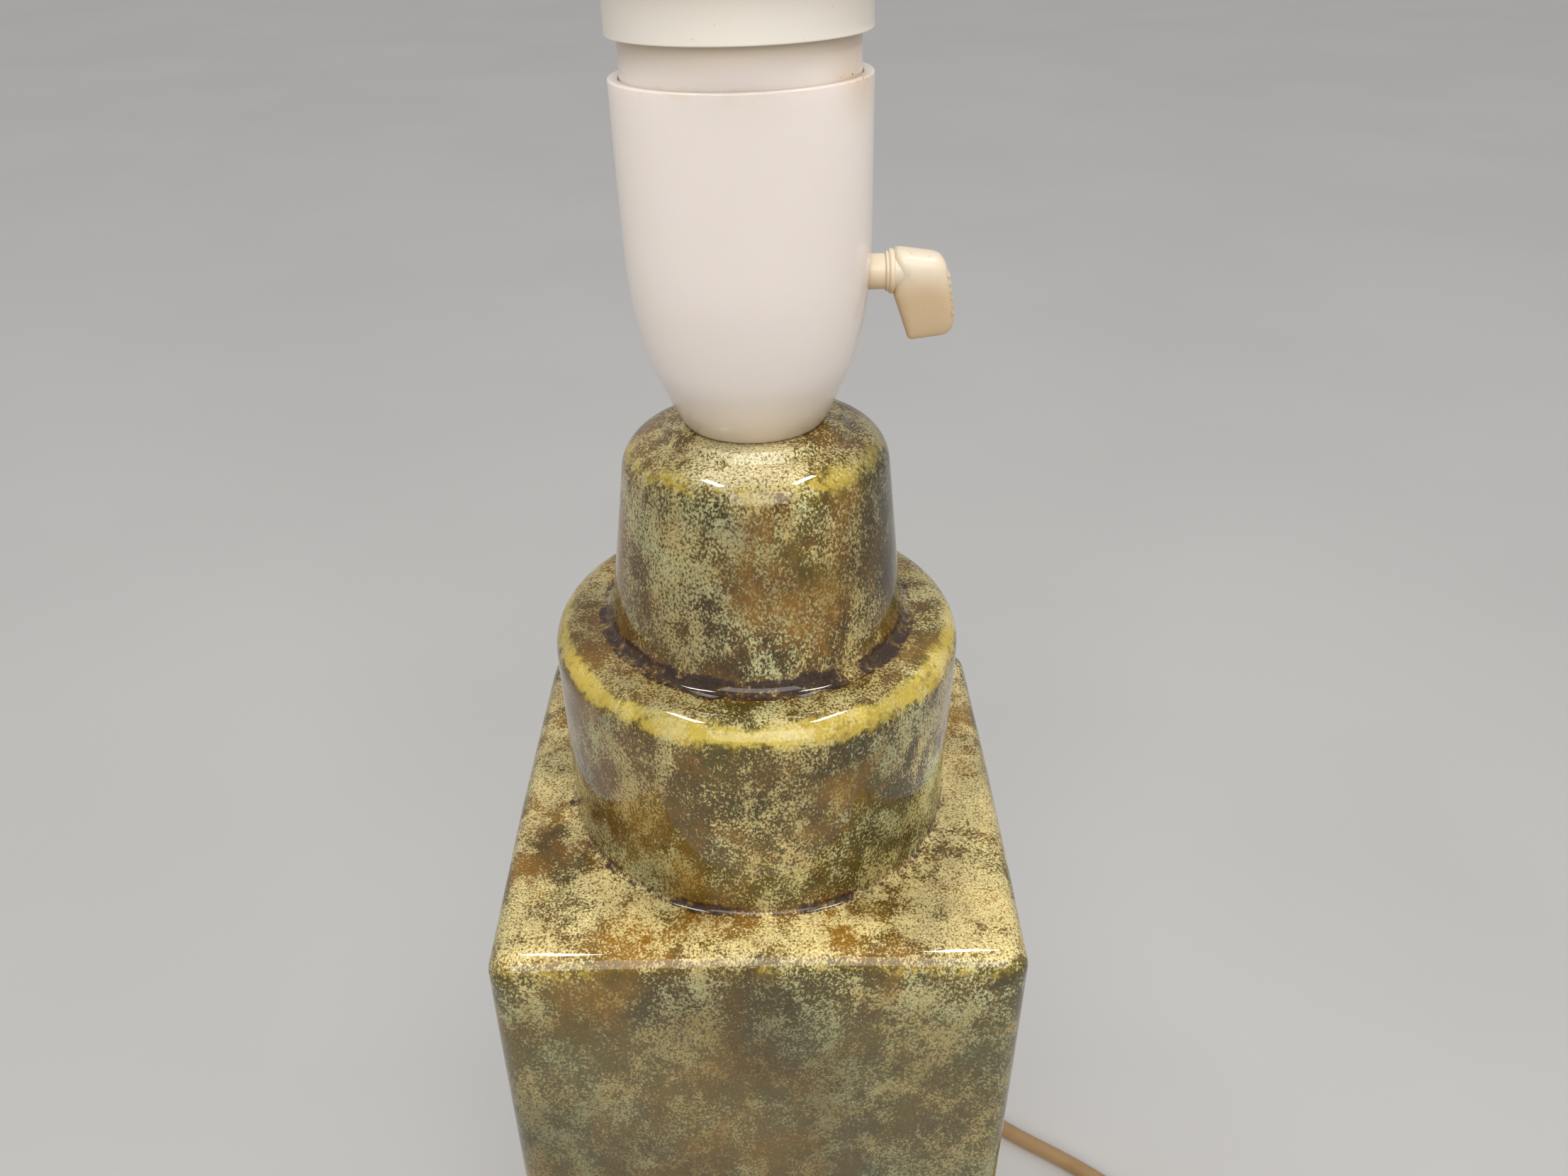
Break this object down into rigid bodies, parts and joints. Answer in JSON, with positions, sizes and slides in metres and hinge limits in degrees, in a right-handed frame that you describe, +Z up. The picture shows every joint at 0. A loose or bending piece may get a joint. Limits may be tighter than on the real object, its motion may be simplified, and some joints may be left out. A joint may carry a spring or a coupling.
{
  "type": "table lamp base",
  "caption": "Stepped glazed ceramic table lamp base with an E27 lampholder, turn switch, shade rings, mains cord and plug.",
  "frame": {"origin": "centre of the square foot, on the surface the lamp stands on", "axes": "+Z up, +X to the side that the switch knob is on, -Y to the front; the cord leaves the back, towards +Y"},
  "size_m": [0.1923, 0.1854, 0.4001],
  "materials": {
    "glaze": "glossy mottled olive, amber and dark brown reactive glaze with pale speckle",
    "holder_plastic": "glossy warm white moulded plastic, slightly yellowed",
    "ring_plastic": "satin cream white moulded plastic",
    "knob_plastic": "ivory moulded plastic, aged",
    "insulator": "moulded insulating plastic",
    "brass": "nickel-free brass, satin",
    "steel": "zinc-plated steel",
    "cord_plastic": "beige-brown flexible cord sheath",
    "plug_plastic": "beige-brown moulded plug plastic",
    "plug_metal": "nickel-plated brass pins",
    "lead_blue": "blue lead insulation",
    "lead_brown": "brown lead insulation",
    "bush_plastic": "dark brown flexible plastic"
  },
  "bodies": {
    "lamp": {"ceramic_body": "glaze", "cord_bush": "bush_plastic", "cord_stop": "insulator", "cord_stop_screws": "steel", "threaded_tube": "steel", "tube_washer": "steel", "tube_nut": "steel", "holder_cup": "holder_plastic", "cup_grub_screw": "steel", "cord_grip": "insulator", "cord_grip_screws": "steel", "holder_barrel": "ring_plastic", "contact_block": "insulator", "screw_shell": "brass", "centre_contact": "brass", "side_contact": "brass", "terminals": "brass", "terminal_screws": "steel", "switch_frame": "insulator", "switch_contacts": "brass", "switch_spring": "steel", "inner_cord": "cord_plastic", "lead_switched": "lead_brown", "lead_neutral": "lead_blue", "mains_cord": "cord_plastic", "cord_coil": "cord_plastic", "coil_tie": "bush_plastic", "cord_tail": "cord_plastic", "plug_sleeve": "plug_plastic", "plug_body": "plug_plastic", "plug_pins": "plug_metal"},
    "switch": {"switch_rotor": "insulator", "rotor_contact": "brass", "switch_spindle": "knob_plastic", "switch_knob": "knob_plastic"},
    "lower_ring": {"shade_ring_lower": "ring_plastic"},
    "upper_ring": {"shade_ring_upper": "ring_plastic"}
  },
  "joints": [
    {"name": "switch_turn", "type": "hinge", "parent": "lamp", "child": "switch", "pos_m": [-0.00073, 0.00132, 0.32596], "axis": [0.9996, 0, 0.0283], "continuous": true},
    {"name": "lower_ring_travel", "type": "slide", "parent": "lamp", "child": "lower_ring", "axis": [-0.0282, 0.0511, 0.9983], "range_m": [-0.005, 0.0025]},
    {"name": "upper_ring_travel", "type": "slide", "parent": "lamp", "child": "upper_ring", "axis": [-0.0282, 0.0511, 0.9983], "range_m": [-0.0025, 0.02]}
  ]
}
